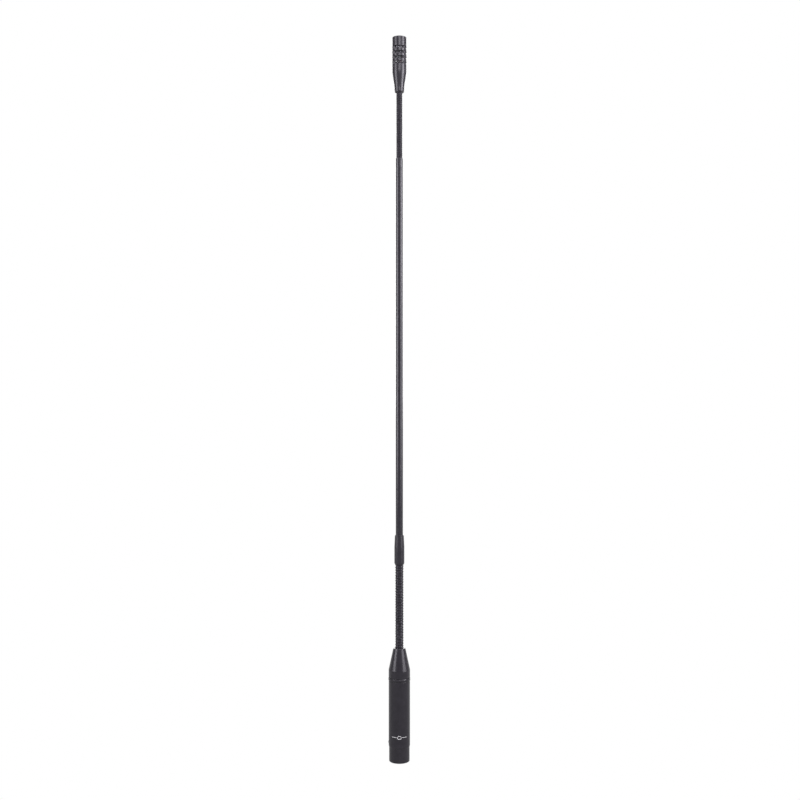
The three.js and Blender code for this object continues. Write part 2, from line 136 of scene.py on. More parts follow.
# azimuth from the front towards +X, distance, width, lowest and highest point, radiance
SOFTBOXES = {
    "left_softbox": (-60, 1.2, 0.55, 0.18, 1.15, 6.4),
    "right_softbox": (60, 1.2, 0.72, 0.18, 1.3, 5.2),
    "right_core_softbox": (66, 1.15, 0.3, 0.55, 1.05, 8.5),
    "front_softbox": (4, 1.5, 0.85, 1.02, 1.5, 7.0),
}
LIGHT_TINT = (1.0, 0.975, 1.05)
ROOM = {"front": 0.13, "back": 4.4, "from": 0.6, "to": 0.87}
FLOOR_HALF = 40
FLOOR_DROP = 0.06  # the fully bent microphone hangs lower than its plug
FLOOR_GLOW = {"front": 0.38, "back": 0.7, "from": -0.1, "to": 0.4}

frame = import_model()
cad_low, cad_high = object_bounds()
JOINTS = {joint["name"]: joint for joint in frame["joints"]}


# ---------------------------------------------------------------- places from the frame
def extent(node):
    """A round node's radius, bottom and top, in millimetres."""
    low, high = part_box(node)
    return (high.x - low.x) / 2 / MM, low.z / MM, high.z / MM


def centre(node):
    low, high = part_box(node)
    return (low + high) / 2


def pivots(neck):
    """The heights of a neck's hinges and the bodies that each joins, from the bottom, in millimetres."""
    prefix = neck["name"].split("_")[0]
    rows = [joint for name, joint in JOINTS.items() if name.startswith(prefix)]
    rows.sort(key=lambda joint: joint["pos_m"][2])
    return [(joint["pos_m"][2] / MM, joint["parent"], joint["child"]) for joint in rows]


# ---------------------------------------------------------------- mesh helpers
def about_axis(radius, angle, height):
    """A place in metres from a radius and a height in millimetres."""
    return (radius * math.cos(angle) * MM, radius * math.sin(angle) * MM, height * MM)


def rounded(corners):
    """An outline of (radius, height, edge) points: a corner with a radius becomes an arc.

    Edge is 1 half way round a sharp corner and 0 elsewhere; the enamel is painted paler there, as rubbed
    paint and as a painted highlight along the edge.
    """
    outline = []
    for i, corner in enumerate(corners):
        here = Vector(corner[:2])
        size = corner[2] if len(corner) > 2 else 0
        if not size:
            outline.append((here.x, here.y, 0.0))
            continue
        before = (Vector(corners[i - 1][:2]) - here).normalized()
        after = (Vector(corners[(i + 1) % len(corners)][:2]) - here).normalized()
        half = before.angle(after) / 2
        start = here + before * size / math.tan(half)
        middle = here + (before + after).normalized() * size / math.sin(half)
        spoke = start - middle
        sweep = math.pi - 2 * half
        if before.cross(after) > 0:
            sweep = -sweep
        for k in range(CORNER_STEPS + 1):
            point = middle + Matrix.Rotation(sweep * k / CORNER_STEPS, 2) @ spoke
            # small corners are marked for paler enamel: worn paint and a painted highlight along the edge
            wear_and_highlight = math.sin(math.pi * k / CORNER_STEPS) if size < WEAR_AND_HIGHLIGHT_RADIUS else 0.0
            outline.append((point.x, point.y, wear_and_highlight))
    return outline


def turned(corners, sides=FINE):
    """A closed surface of revolution about +Z. Its corners run up the outer side."""
    mesh = bmesh.new()
    edge = mesh.verts.layers.float.new("edge")
    rings = []
    for radius, height, wear_and_highlight in rounded(corners):
        on_axis = radius < 1e-6
        ring = []
        for side in range(1 if on_axis else sides):
            vert = mesh.verts.new(about_axis(radius, TURN * side / sides, height))
            vert[edge] = wear_and_highlight
            ring.append(vert)
        rings.append(ring * sides if on_axis else ring)
    for low, high in zip(rings, rings[1:] + rings[:1]):
        for side in range(sides):
            after = (side + 1) % sides
            face = dict.fromkeys((low[side], low[after], high[after], high[side]))
            if len(face) > 2:
                mesh.faces.new(face)
    return mesh


def solid(mesh, name):
    """An object of that mesh, to be shaped further."""
    bmesh.ops.recalc_face_normals(mesh, faces=mesh.faces)
    data = bpy.data.meshes.new(name)
    mesh.to_mesh(data)
    mesh.free()
    item = bpy.data.objects.new(name, data)
    bpy.context.scene.collection.objects.link(item)
    return item


def apply_modifiers(item):
    """The item's mesh as its modifiers leave it, with no modifiers."""
    graph = bpy.context.evaluated_depsgraph_get()
    done = bpy.data.meshes.new_from_object(item.evaluated_get(graph))
    item.modifiers.clear()
    item.data = done


def combine(item, operation, others):
    for other in others:
        boolean = item.modifiers.new("boolean", "BOOLEAN")
        boolean.operation = operation
        boolean.solver = "EXACT"
        boolean.object = other
        apply_modifiers(item)
        bpy.data.objects.remove(other)
    return item


def cut(item, *cutters):
    """Takes each cutter out of the item and removes the cutter."""
    return combine(item, "DIFFERENCE", cutters)


def join(item, *others):
    """Makes the item and the others one solid."""
    return combine(item, "UNION", others)


def bevel(item, width, angle=40, steps=2):
    modifier = item.modifiers.new("bevel", "BEVEL")
    modifier.width = width * MM
    modifier.segments = steps
    modifier.limit_method = "ANGLE"
    modifier.angle_limit = math.radians(angle)
    apply_modifiers(item)
    return item


def box(size, place, name="box"):
    """A box of that size about a place, in millimetres."""
    mesh = bmesh.new()
    bmesh.ops.create_cube(mesh, size=1)
    bmesh.ops.scale(mesh, vec=Vector(size) * MM, verts=mesh.verts)
    bmesh.ops.translate(mesh, vec=Vector(place) * MM, verts=mesh.verts)
    return solid(mesh, name)


def smooth_path(points, steps):
    """A Catmull-Rom curve through the points, as steps + 1 vectors."""
    points = [Vector(p) for p in points]
    ends = [2 * points[0] - points[1], *points, 2 * points[-1] - points[-2]]
    spans = len(points) - 1
    path = []
    for k in range(steps + 1):
        t = k / steps * spans
        i = min(int(t), spans - 1)
        t -= i
        a, b, c, d = ends[i:i + 4]
        path.append((2 * b + (c - a) * t + (2 * a - 5 * b + 4 * c - d) * t**2
                     + (3 * b - a - 3 * c + d) * t**3) / 2)
    return path


def swept(mesh, path, radius, sides, closed=False):
    """Adds a round wire along a path of points, in millimetres, to the mesh."""
    count = len(path)
    side = None
    rings = []
    for i, point in enumerate(path):
        before = path[i - 1] if closed or i else point
        after = path[(i + 1) % count] if closed or i < count - 1 else point
        along = (after - before).normalized()
        if side is None:
            side = along.orthogonal().normalized()
        side = (side - along * side.dot(along)).normalized()
        across = along.cross(side)
        rings.append([
            mesh.verts.new((point + (side * math.cos(TURN * k / sides) + across * math.sin(TURN * k / sides))
                            * radius) * MM)
            for k in range(sides)
        ])
    pairs = list(zip(rings, rings[1:] + rings[:1])) if closed else list(zip(rings, rings[1:]))
    for low, high in pairs:
        for k in range(sides):
            after = (k + 1) % sides
            mesh.faces.new((low[k], low[after], high[after], high[k]))
    if not closed:
        mesh.faces.new(rings[0][::-1])
        mesh.faces.new(rings[-1])


# ---------------------------------------------------------------- materials
def link(tree, source, target):
    tree.links.new(source, target)


def shader(name, color, roughness, metallic=0.0):
    """A new material and its tree, principled shader and object coordinates."""
    material = bpy.data.materials.new(name)
    material.use_nodes = True
    tree = material.node_tree
    surface = tree.nodes["Principled BSDF"]
    surface.inputs["Base Color"].default_value = (*color, 1)
    surface.inputs["Roughness"].default_value = roughness
    surface.inputs["Metallic"].default_value = metallic
    place = tree.nodes.new("ShaderNodeTexCoord").outputs["Object"]
    return material, tree, surface, place


def noise_of(tree, place, scale, detail=3.0):
    """Noise with about that many lumps to a metre."""
    node = tree.nodes.new("ShaderNodeTexNoise")
    node.inputs["Scale"].default_value = scale
    node.inputs["Detail"].default_value = detail
    link(tree, place, node.inputs["Vector"])
    return node.outputs["Fac"]


def mapped(tree, value, low, high, from_low=0.3, from_high=0.7):
    """A value that runs from low to high where the given one runs between its two limits."""
    node = tree.nodes.new("ShaderNodeMapRange")
    node.inputs["From Min"].default_value = from_low
    node.inputs["From Max"].default_value = from_high
    node.inputs["To Min"].default_value = low
    node.inputs["To Max"].default_value = high
    link(tree, value, node.inputs["Value"])
    return node.outputs["Result"]


def mixed(tree, factor, first, second):
    """A colour between two others, each a colour or a socket."""
    node = tree.nodes.new("ShaderNodeMix")
    node.data_type = "RGBA"
    link(tree, factor, node.inputs[0])
    for given, socket in ((first, node.inputs[6]), (second, node.inputs[7])):
        if isinstance(given, tuple):
            socket.default_value = (*given, 1)
        else:
            link(tree, given, socket)
    return node.outputs[2]


def product(tree, first, second):
    node = tree.nodes.new("ShaderNodeMath")
    node.operation = "MULTIPLY"
    link(tree, first, node.inputs[0])
    if isinstance(second, float):
        node.inputs[1].default_value = second
    else:
        link(tree, second, node.inputs[1])
    return node.outputs[0]


def bumped(tree, surface, height, depth, strength=1.0):
    """Bumps of that depth in millimetres."""
    node = tree.nodes.new("ShaderNodeBump")
    node.inputs["Distance"].default_value = depth * MM
    node.inputs["Strength"].default_value = strength
    link(tree, height, node.inputs["Height"])
    link(tree, node.outputs["Normal"], surface.inputs["Normal"])


def mottled(tree, place, color, spread, scale):
    """A colour that wanders between a darker and a lighter version of the given one."""
    dark = tuple(c * (1 - spread) for c in color)
    light = tuple(c * (1 + spread) for c in color)
    lumps = mapped(tree, noise_of(tree, place, scale), 0, 1)
    return mixed(tree, lumps, dark, light)


def hazed(tree, surface, place, scale, roughness, spread):
    """Lets the roughness wander that far to both sides."""
    haze = mapped(tree, noise_of(tree, place, scale), roughness - spread, roughness + spread)
    link(tree, haze, surface.inputs["Roughness"])


def enamel(name, color, roughness, worn_and_highlight):
    """Black enamel with a fine orange peel, hazy patches and paler rubbed edges, which are partly worn paint
    and partly a painted highlight.
    """
    material, tree, surface, place = shader(name, color, roughness)
    paint = mottled(tree, place, color, 0.14, 260)
    edge = tree.nodes.new("ShaderNodeAttribute")
    edge.attribute_name = "edge"
    patches = mapped(tree, noise_of(tree, place, 900, 4), 0, 1, 0.42, 0.66)
    # small rounded edges turn paler in patches: worn paint and a painted highlight along the edges
    rubbed_and_highlight = product(tree, product(tree, edge.outputs["Fac"], patches), 0.6)
    link(tree, mixed(tree, rubbed_and_highlight, paint, worn_and_highlight), surface.inputs["Base Color"])
    hazed(tree, surface, place, 90, roughness, 0.03)
    bumped(tree, surface, noise_of(tree, place, 2200, 2), 0.002)
    return material


def oxide(name, color, roughness):
    """Black oxide on wire, a little uneven in tone and gloss."""
    material, tree, surface, place = shader(name, color, roughness, 0.35)
    link(tree, mottled(tree, place, color, 0.3, 420), surface.inputs["Base Color"])
    hazed(tree, surface, place, 150, roughness, 0.07)
    bumped(tree, surface, noise_of(tree, place, 3200), 0.01)
    return material


def bare_metal(name, color, roughness, lines=4000):
    """Metal with fine turning lines round its axis."""
    material, tree, surface, place = shader(name, color, roughness, 1.0)
    stretch = tree.nodes.new("ShaderNodeMapping")
    stretch.inputs["Scale"].default_value = (0.02, 0.02, 1)
    link(tree, place, stretch.inputs["Vector"])
    grooves = noise_of(tree, stretch.outputs["Vector"], lines, 2)
    link(tree, mottled(tree, place, color, 0.1, 500), surface.inputs["Base Color"])
    link(tree, mapped(tree, grooves, roughness - 0.08, roughness + 0.1), surface.inputs["Roughness"])
    bumped(tree, surface, grooves, 0.006)
    return material


def moulded(name, color, roughness, grain=1800, depth=0.015):
    """Moulded plastic, rubber or wire insulation with a fine grain."""
    material, tree, surface, place = shader(name, color, roughness)
    link(tree, mottled(tree, place, color, 0.12, 350), surface.inputs["Base Color"])
    hazed(tree, surface, place, 240, roughness, 0.06)
    bumped(tree, surface, noise_of(tree, place, grain), depth)
    return material


def solder_resist(name):
    """Green solder resist over copper tracks, which show as lighter, raised paths."""
    material, tree, surface, place = shader(name, (0.02, 0.14, 0.06), 0.32)
    tracks = tree.nodes.new("ShaderNodeTexBrick")
    tracks.inputs["Scale"].default_value = 420
    tracks.inputs["Mortar Size"].default_value = 0.1
    tracks.inputs["Color1"].default_value = (0, 0, 0, 1)
    tracks.inputs["Color2"].default_value = (0, 0, 0, 1)
    tracks.inputs["Mortar"].default_value = (1, 1, 1, 1)
    turn = tree.nodes.new("ShaderNodeMapping")
    turn.inputs["Rotation"].default_value = (math.radians(90), 0, 0)
    link(tree, place, turn.inputs["Vector"])
    link(tree, turn.outputs["Vector"], tracks.inputs["Vector"])
    path = tracks.outputs["Color"]
    link(tree, mixed(tree, path, (0.012, 0.1, 0.04), (0.05, 0.24, 0.09)), surface.inputs["Base Color"])
    hazed(tree, surface, place, 300, 0.33, 0.07)
    bumped(tree, surface, path, 0.03)
    return material


def foam(name):
    """Black open-cell foam, painted darker in its pores as painted shade."""
    material, tree, surface, place = shader(name, (0.012, 0.012, 0.013), 0.95)
    cells = tree.nodes.new("ShaderNodeTexVoronoi")
    cells.inputs["Scale"].default_value = 2200
    link(tree, place, cells.inputs["Vector"])
    pores = cells.outputs["Distance"]
    # the pores, where the bump sinks, are painted darker: painted shade in the hollows
    depth = mapped(tree, pores, 0, 1, 0.1, 0.6)
    link(tree, mixed(tree, depth, (0.004, 0.004, 0.004), (0.03, 0.03, 0.032)), surface.inputs["Base Color"])
    bumped(tree, surface, pores, 0.15)
    return material


# paler colour of small rounded edges: rubbed paint and a painted highlight
RUBBED_AND_HIGHLIGHT = (0.16, 0.155, 0.16)
MATERIALS = {
    "satin_black": enamel("satin_black", (0.025, 0.0225, 0.0285), 0.3, RUBBED_AND_HIGHLIGHT),
    "stem_black": enamel("stem_black", (0.026, 0.0235, 0.03), 0.21, RUBBED_AND_HIGHLIGHT),
    "neck_black": oxide("neck_black", (0.036, 0.033, 0.041), 0.3),
    "pin_metal": bare_metal("pin_metal", (0.74, 0.72, 0.67), 0.22),
    "bright_brass": bare_metal("bright_brass", (0.75, 0.56, 0.27), 0.3),
    "insert_plastic": moulded("insert_plastic", (0.017, 0.017, 0.018), 0.5),
    "board_green": solder_resist("board_green"),
    "capacitor_sleeve": moulded("capacitor_sleeve", (0.015, 0.03, 0.14), 0.3, 900, 0.01),
    "lead_white": moulded("lead_white", (0.75, 0.74, 0.7), 0.4),
    "lead_red": moulded("lead_red", (0.4, 0.02, 0.02), 0.4),
    "cable_grey": moulded("cable_grey", (0.05, 0.05, 0.055), 0.55),
    "capsule_can": bare_metal("capsule_can", (0.3, 0.3, 0.31), 0.36, 2500),
    "gasket_rubber": moulded("gasket_rubber", (0.012, 0.012, 0.012), 0.7, 1400, 0.03),
    "mesh_dark": bare_metal("mesh_dark", (0.2, 0.195, 0.215), 0.5, 5000),
    "foam_dark": foam("foam_dark"),
}


# ---------------------------------------------------------------- finishing a piece
def shade(item, slot):
    """Gives a piece the material of its slot and smooth shading."""
    item.data.materials.clear()
    item.data.materials.append(MATERIALS[slot])
    item.data.shade_smooth()
    item.data.set_sharp_from_angle(angle=SHARP)
    return item


def fit(item, name, body, slot, *nodes):
    """Names a rigid piece, shades it and puts it on its body in place of the CAD nodes."""
    item.name = item.data.name = name
    shade(item, slot)
    even = item.modifiers.new("even_shading", "WEIGHTED_NORMAL")
    even.keep_sharp = True
    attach(item, body)
    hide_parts(*nodes)
    return item


# ---------------------------------------------------------------- housing
def body_tube():
    outer, bottom, top = extent("body_tube")
    tube = solid(turned([
        (PLUG["bore"], bottom, 0.25),
        (PLUG["radius"], bottom, 0.5),
        (PLUG["radius"], PLUG["top"], 0.6),
        (outer, PLUG["shoulder"], 0.6),
        (outer, top, 0.15),
        (BODY_BORE, top, 0.12),
        (BODY_BORE, PLUG["step"], 0.1),
        (PLUG["bore"], PLUG["step"] - 0.4, 0.1),
    ]), "tube")
    countersink = SCREW_HOLE + 0.25
    hole = solid(turned([
        (0, 0),
        (countersink, 0),
        (countersink, 0.9),
        (SCREW_HOLE, 1.15),
        (SCREW_HOLE, 4),
        (0, 4),
    ], PLAIN), "hole")
    turn = Matrix.Rotation(math.radians(90), 4, "Y")
    hole.data.transform(Matrix.Translation((-(outer + 0.8) * MM, 0, centre("insert_screw").z)) @ turn)
    cut(tube, hole)
    return fit(tube, "body_tube_shell", "housing", "satin_black", "body_tube")


def pin_centres():
    return [centre(f"xlr_pin_{i}") / MM for i in (1, 2, 3)]


def round_cutter(radius, bottom, top, x=0.0, y=0.0):
    mesh = turned([(0, bottom), (radius, bottom), (radius, top), (0, top)], PLAIN)
    bmesh.ops.translate(mesh, vec=Vector((x, y, 0)) * MM, verts=mesh.verts)
    return solid(mesh, "cutter")


def xlr_insert():
    """The moulding that holds the pins, with a rim, a sunk face, a boss round each pin and two pockets."""
    radius, bottom, top = extent("xlr_insert")
    insert = solid(turned([
        (0, bottom + INSERT["sunk"]),
        (INSERT["face"], bottom + INSERT["sunk"], 0.15),
        (INSERT["rim"], bottom, 0.1),
        (radius, bottom, 0.25),
        (radius, top, 0.25),
        (0, top),
    ]), "insert")
    for x, y, _ in pin_centres():
        boss = turned([
            (0, bottom + 0.05),
            (INSERT["boss"], bottom + 0.05, 0.15),
            (INSERT["boss_foot"], bottom + 1),
            (0, bottom + 1),
        ], PLAIN)
        bmesh.ops.translate(boss, vec=Vector((x, y, 0)) * MM, verts=boss.verts)
        join(insert, solid(boss, "boss"))
    cutters = [round_cutter(PIN_HOLE, bottom - 1, top + 1, x, y) for x, y, _ in pin_centres()]
    earth = centre("earth_contact") / MM
    pocket = (EARTH_POCKET["width"], EARTH_POCKET["depth"], top - bottom + 2)
    cutters.append(box(pocket, (0, earth.y - 0.25, (bottom + top) / 2)))
    seat = round_cutter(SCREW_HOLE, -radius - 1, -INSERT["screw_seat"])
    turn = Matrix.Rotation(math.radians(90), 4, "Y")
    seat.data.transform(Matrix.Translation((0, 0, centre("insert_screw").z)) @ turn)
    cut(insert, *cutters, seat)
    return fit(insert, "xlr_insert_moulding", "housing", "insert_plastic", "xlr_insert")


def xlr_pin(number):
    """A round-nosed contact, a little thicker inside the moulding, with an open solder cup."""
    node = f"xlr_pin_{number}"
    radius, tip, tail = extent(node)
    _, bottom, top = extent("xlr_insert")
    place = centre(node)
    wall = PIN_CUP["wall"]
    floor = tail - PIN_CUP["depth"]
    pin = solid(turned([
        (0, tip),
        (radius, tip, radius * 0.98),
        (radius, bottom + 1, 0.1),
        (radius + 0.05, bottom + 1.2, 0.05),
        (radius + 0.05, top - 0.4, 0.05),
        (radius, top - 0.2, 0.1),
        (radius, tail, 0.08),
        (radius - wall, tail, 0.08),
        (radius - wall, floor, 0.2),
        (0, floor),
    ], PLAIN), "pin")
    cut(pin, box((3, 3, PIN_CUP["depth"]), (0, 1.5 + PIN_CUP["opening"], tail - 0.6)))
    pin.data.transform(Matrix.Translation((place.x, place.y, 0)))
    return fit(pin, f"xlr_contact_{number}", "housing", "pin_metal", node)


def insert_screw():
    """A slotted set screw across the tube, its domed end just proud of the paint."""
    low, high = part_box("insert_screw")
    radius = (high.z - low.z) / 2 / MM
    length = (high.x - low.x) / MM
    screw = solid(turned([
        (0, 0),
        (radius - 0.15, 0, 0.1),
        (radius - 0.15, length - 1.1),
        (radius, length - 0.95, 0.05),
        (radius, length - 0.15, 0.12),
        (radius * 0.6, length, 0.4),
        (0, length),
    ], PLAIN), "screw")
    cut(screw, box((0.5, 4, 1.4), (0, 0, length + 0.1)))
    turn = Matrix.Rotation(math.radians(-90), 4, "Y") @ Matrix.Rotation(math.radians(90), 4, "Z")
    screw.data.transform(Matrix.Translation((high.x, 0, centre("insert_screw").z)) @ turn)
    return fit(screw, "insert_set_screw", "housing", "satin_black", "insert_screw")


def trim_ring():
    radius, bottom, top = extent("trim_ring")
    seat = extent("body_tube")[0] + 0.05
    crest = (bottom + top) / 2
    ring = solid(turned([
        (BODY_BORE, bottom, 0.1),
        (seat, bottom, 0.06),
        (radius, crest - TRIM_CREST / 2, 0.25),
        (radius, crest + TRIM_CREST / 2, 0.25),
        (seat, top, 0.06),
        (BODY_BORE, top, 0.1),
    ]), "ring")
    return fit(ring, "trim_ring_band", "housing", "satin_black", "trim_ring")


def cone():
    radius, bottom, top = extent("cone")
    shoulder = extent("trim_ring")[2] + 0.3
    spigot = BODY_BORE - 0.3
    floor = top - CONE["mouth_depth"]
    shell = solid(turned([
        (CONE["cavity"], bottom, 0.1),
        (spigot, bottom, 0.2),
        (spigot, shoulder),
        (radius, shoulder, 0.15),
        (radius, CONE["edge"], 0.25),
        (CONE["top_radius"], top, 0.5),
        (CONE["mouth"], top, 0.15),
        (CONE["mouth"], floor, 0.1),
        (NECK_SEAT_BORE, floor, 0.1),
        (NECK_SEAT_BORE, CONE["seat"], 0.1),
        (CONE["cavity"], CONE["seat"], 0.1),
    ]), "cone")
    return fit(shell, "cone_shell", "housing", "satin_black", "cone")


def pad_print():
    """A white printed mark on the front: a line, a heart-shaped pick-up pattern and a line."""
    skin = extent("body_tube")[0] + MARK["thickness"]
    half = MARK["stroke"] / 2
    mesh = bmesh.new()

    def wrapped(across, up):
        return mesh.verts.new(about_axis(skin, across / skin - math.pi / 2, MARK["z"] + up))

    def ribbon(left, right, closed):
        rows = [(wrapped(*a), wrapped(*b)) for a, b in zip(left, right)]
        for low, high in zip(rows, rows[1:] + (rows[:1] if closed else [])):
            mesh.faces.new((low[0], low[1], high[1], high[0]))

    pattern = []
    steps = 72
    for k in range(steps):
        t = TURN * k / steps
        reach = MARK["size"] / 2.6 * (1 + math.cos(t))
        pattern.append(Vector((reach * math.sin(t), reach * math.cos(t) - MARK["size"] / 2 + 0.35)))
    inner, outer = [], []
    for k, point in enumerate(pattern):
        along = (pattern[(k + 1) % steps] - pattern[k - 1]).normalized()
        inner.append(point + Vector((along.y, -along.x)) * half)
        outer.append(point - Vector((along.y, -along.x)) * half)
    ribbon(outer, inner, True)
    first = MARK["size"] / 2 + MARK["gap"]
    for side in (-1, 1):
        xs = [side * (first + MARK["line"] * k / 12) for k in range(13)]
        ribbon([(x, -half) for x in xs], [(x, half) for x in xs], False)
    mark = solid(mesh, "mark")
    thicken = mark.modifiers.new("thickness", "SOLIDIFY")
    thicken.thickness = MARK["thickness"] * MM
    thicken.offset = 0
    apply_modifiers(mark)
    mark.name = mark.data.name = "printed_mark"
    mark.data.materials.append(moulded("print_white", (0.8, 0.8, 0.79), 0.45))
    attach(mark, "housing")
    return mark


def round_wire(name, body, slot, points, radius, node, steps=24):
    """A round wire or cable along a smooth curve through the points."""
    mesh = bmesh.new()
    swept(mesh, smooth_path(points, steps), radius, WIRE_SIDES)
    return fit(solid(mesh, "wire"), name, body, slot, node)


# ---------------------------------------------------------------- inside the housing
def earth_contact():
    """A spring strip with a raised contact that touches the tube."""
    low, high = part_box("earth_contact")
    height = (high.z - low.z) / MM
    middle = (high.z + low.z) / 2 / MM
    thickness = EARTH["thickness"]
    strip = box((EARTH["width"], thickness, height), (0, high.y / MM - thickness / 2, middle), "strip")
    bevel(strip, 0.08)
    thickness = EARTH["contact_thickness"]
    size = (EARTH["contact"], thickness, height / 3)
    contact = box(size, (0, low.y / MM + thickness / 2, middle), "contact")
    bevel(contact, 0.14, steps=3)
    return fit(join(strip, contact), "earth_spring", "housing", "pin_metal", "earth_contact")


def neck_lock_ring():
    """A threaded ring with a slot across its face for the tool that tightens it."""
    outer, bottom, top = extent("neck_lock_ring")
    thread = []
    for k in range(5):
        crest = bottom + 0.4 + 0.45 * k
        thread += [(outer, crest), (outer - 0.22, crest + 0.22)]
    ring = solid(turned([
        (NECK_SEAT_BORE, bottom, 0.15),
        (outer - 0.2, bottom, 0.1),
        *thread,
        (outer - 0.2, top, 0.1),
        (NECK_SEAT_BORE, top, 0.15),
    ]), "ring")
    cut(ring, box((3 * outer, 1.6, 1.2), (0, 0, bottom)))
    return fit(ring, "neck_lock_thread", "housing", "bright_brass", "neck_lock_ring")


def preamp_board():
    low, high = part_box("preamp_board")
    size = (high - low) / MM
    board = box(size, (high + low) / 2 / MM, "board")
    bevel(board, 0.06)
    return fit(board, "preamp_circuit_board", "housing", "board_green", "preamp_board")


def coupling_capacitor(number):
    """A sleeved can with the crimp that holds its rubber bung."""
    node = f"coupling_capacitor_{number}"
    radius, bottom, top = extent(node)
    can = turned([
        (0, bottom),
        (radius, bottom, 0.3),
        (radius, top - 2, 0.15),
        (radius - 0.35, top - 1.5, 0.2),
        (radius, top - 1, 0.15),
        (radius, top, 0.3),
        (0, top),
    ], PLAIN)
    bmesh.ops.translate(can, vec=(0, centre(node).y, 0), verts=can.verts)
    return fit(solid(can, "can"), f"capacitor_can_{number}", "housing", "capacitor_sleeve", node)


def output_transistor(number):
    """A half-round moulding, flat towards the board, on three straight legs."""
    node = f"output_transistor_{number}"
    low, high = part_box(node)
    radius = (high.x - low.x) / 2 / MM
    top = high.z / MM
    bottom = top - 2 * radius
    moulding = solid(turned([
        (0, bottom),
        (radius, bottom, 0.12),
        (radius, top, 0.12),
        (0, top),
    ], PLAIN), "moulding")
    flat = radius * math.sin(math.radians(TRANSISTOR["flat"]))
    cut(moulding, box((8, 4, 8), (0, flat + 2, (bottom + top) / 2)))
    bevel(moulding, 0.1, 60)
    moulding.data.transform(Matrix.Translation((0, low.y + radius * MM, 0)))
    fit(moulding, f"transistor_moulding_{number}", "housing", "insert_plastic", node)
    foot = low.z / MM
    leg = (TRANSISTOR["leg"], TRANSISTOR["leg"], bottom - foot)
    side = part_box("preamp_board")[0].y / MM - BOARD_GAP - TRANSISTOR["leg_inset"]
    legs = [box(leg, (k * TRANSISTOR["leg_pitch"], side, (bottom + foot) / 2), "leg") for k in (-1, 0, 1)]
    return fit(join(*legs), f"transistor_legs_{number}", "housing", "pin_metal", node)


def pin_lead(number, slot):
    """An insulated lead from a pin's solder cup to the foot of the circuit board."""
    x, y, _ = pin_centres()[number - 1]
    board_low, board_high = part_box("preamp_board")
    start = extent(f"pin_lead_{number}")[1]
    foot = board_low.z / MM
    face = board_high.y / MM + BOARD_GAP + PIN_LEAD["radius"]
    across = math.copysign(PIN_LEAD["spread"], x) if abs(y) < 0.01 else 0
    points = [
        (x, y, start),
        (x, (y + face) / 2, start + 1.4),
        (across, face + 0.2, foot - 0.6),
        (across, face, foot + 4),
    ]
    name = f"pin_lead_wire_{number}"
    return round_wire(name, "housing", slot, points, PIN_LEAD["radius"], f"pin_lead_{number}")


def cables():
    """The signal cable where it does not bend: in the housing, in the stem and in the head."""
    _, start, _ = extent("cable_in_housing")
    board_low, board_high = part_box("preamp_board")
    board_top = board_high.z / MM
    side = board_low.y / MM - BOARD_GAP - CABLE_RADIUS
    points = [
        (0, side, start),
        (0, side, board_top),
        (0, side / 2, board_top + 5),
        (0, 0, board_top + 11),
        (0, 0, CONE["seat"]),
        (0, 0, neck_end(0, LOWER_NECK)),
    ]
    round_wire("cable_housing_run", "housing", "cable_grey", points, CABLE_RADIUS, "cable_in_housing", 60)
    for name, body, bottom, top, node in (
        ("cable_stem_run", "stem", neck_end(-1, LOWER_NECK), neck_end(0, UPPER_NECK), "cable_in_stem"),
        ("cable_head_run", "head", neck_end(-1, UPPER_NECK), extent("cable_in_head")[2], "cable_in_head"),
    ):
        round_wire(name, body, "cable_grey", [(0, 0, bottom), (0, 0, top)], CABLE_RADIUS, node)


# ---------------------------------------------------------------- necks
def wire_outline(pitch):
    """Rows of (share of a pitch, depth in millimetres) over a wide, crowned wire and a narrow, round one."""
    rows = []
    for k in range(WIDE_WIRE["steps"] + 1):
        s = 2 * k / WIDE_WIRE["steps"] - 1
        rows.append((WIDE_WIRE["middle"] + WIDE_WIRE["half"] * s, pitch * (0.08 * s**2 + 0.06 * s**4)))
    for k in range(ROUND_WIRE["steps"] + 1):
        s = (2 * k / ROUND_WIRE["steps"] - 1) * ROUND_WIRE["arc"]
        depth = ROUND_WIRE["sunk"] + ROUND_WIRE["radius"] * (1 - math.sqrt(1 - s * s))
        rows.append((ROUND_WIRE["middle"] + ROUND_WIRE["radius"] * s, pitch * depth))
    return rows


def winding(mesh, radius, pitch, bottom, top):
    """Adds two wires wound side by side, cut flat at both heights."""
    outline = wire_outline(pitch)
    rows = []
    for turn in range(math.floor(bottom / pitch) - 2, math.ceil(top / pitch) + 2):
        for share, depth in outline:
            row = []
            for k in range(PLAIN):
                height = (turn + share + k / PLAIN) * pitch
                row.append(mesh.verts.new(about_axis(radius - depth, TURN * k / PLAIN, height)))
            rows.append(row)
    per_turn = len(outline)
    for i, (low, high) in enumerate(zip(rows, rows[1:])):
        for k in range(PLAIN - 1):
            mesh.faces.new((low[k], low[k + 1], high[k + 1], high[k]))
        # the last side joins the start of the next turn
        if i + per_turn + 1 < len(rows):
            mesh.faces.new((low[-1], rows[i + per_turn][0], rows[i + per_turn + 1][0], high[-1]))
    for height, keep_up in ((bottom, True), (top, False)):
        bmesh.ops.bisect_plane(
            mesh, geom=mesh.verts[:] + mesh.edges[:] + mesh.faces[:], dist=1e-9,
            plane_co=(0, 0, height * MM), plane_no=(0, 0, 1),
            clear_inner=keep_up, clear_outer=not keep_up,
        )


def rim(mesh, height):
    """The open edges at that height."""
    level = height * MM
    return [
        edge for edge in mesh.edges
        if edge.is_boundary and all(abs(vert.co.z - level) < 1e-8 for vert in edge.verts)
    ]


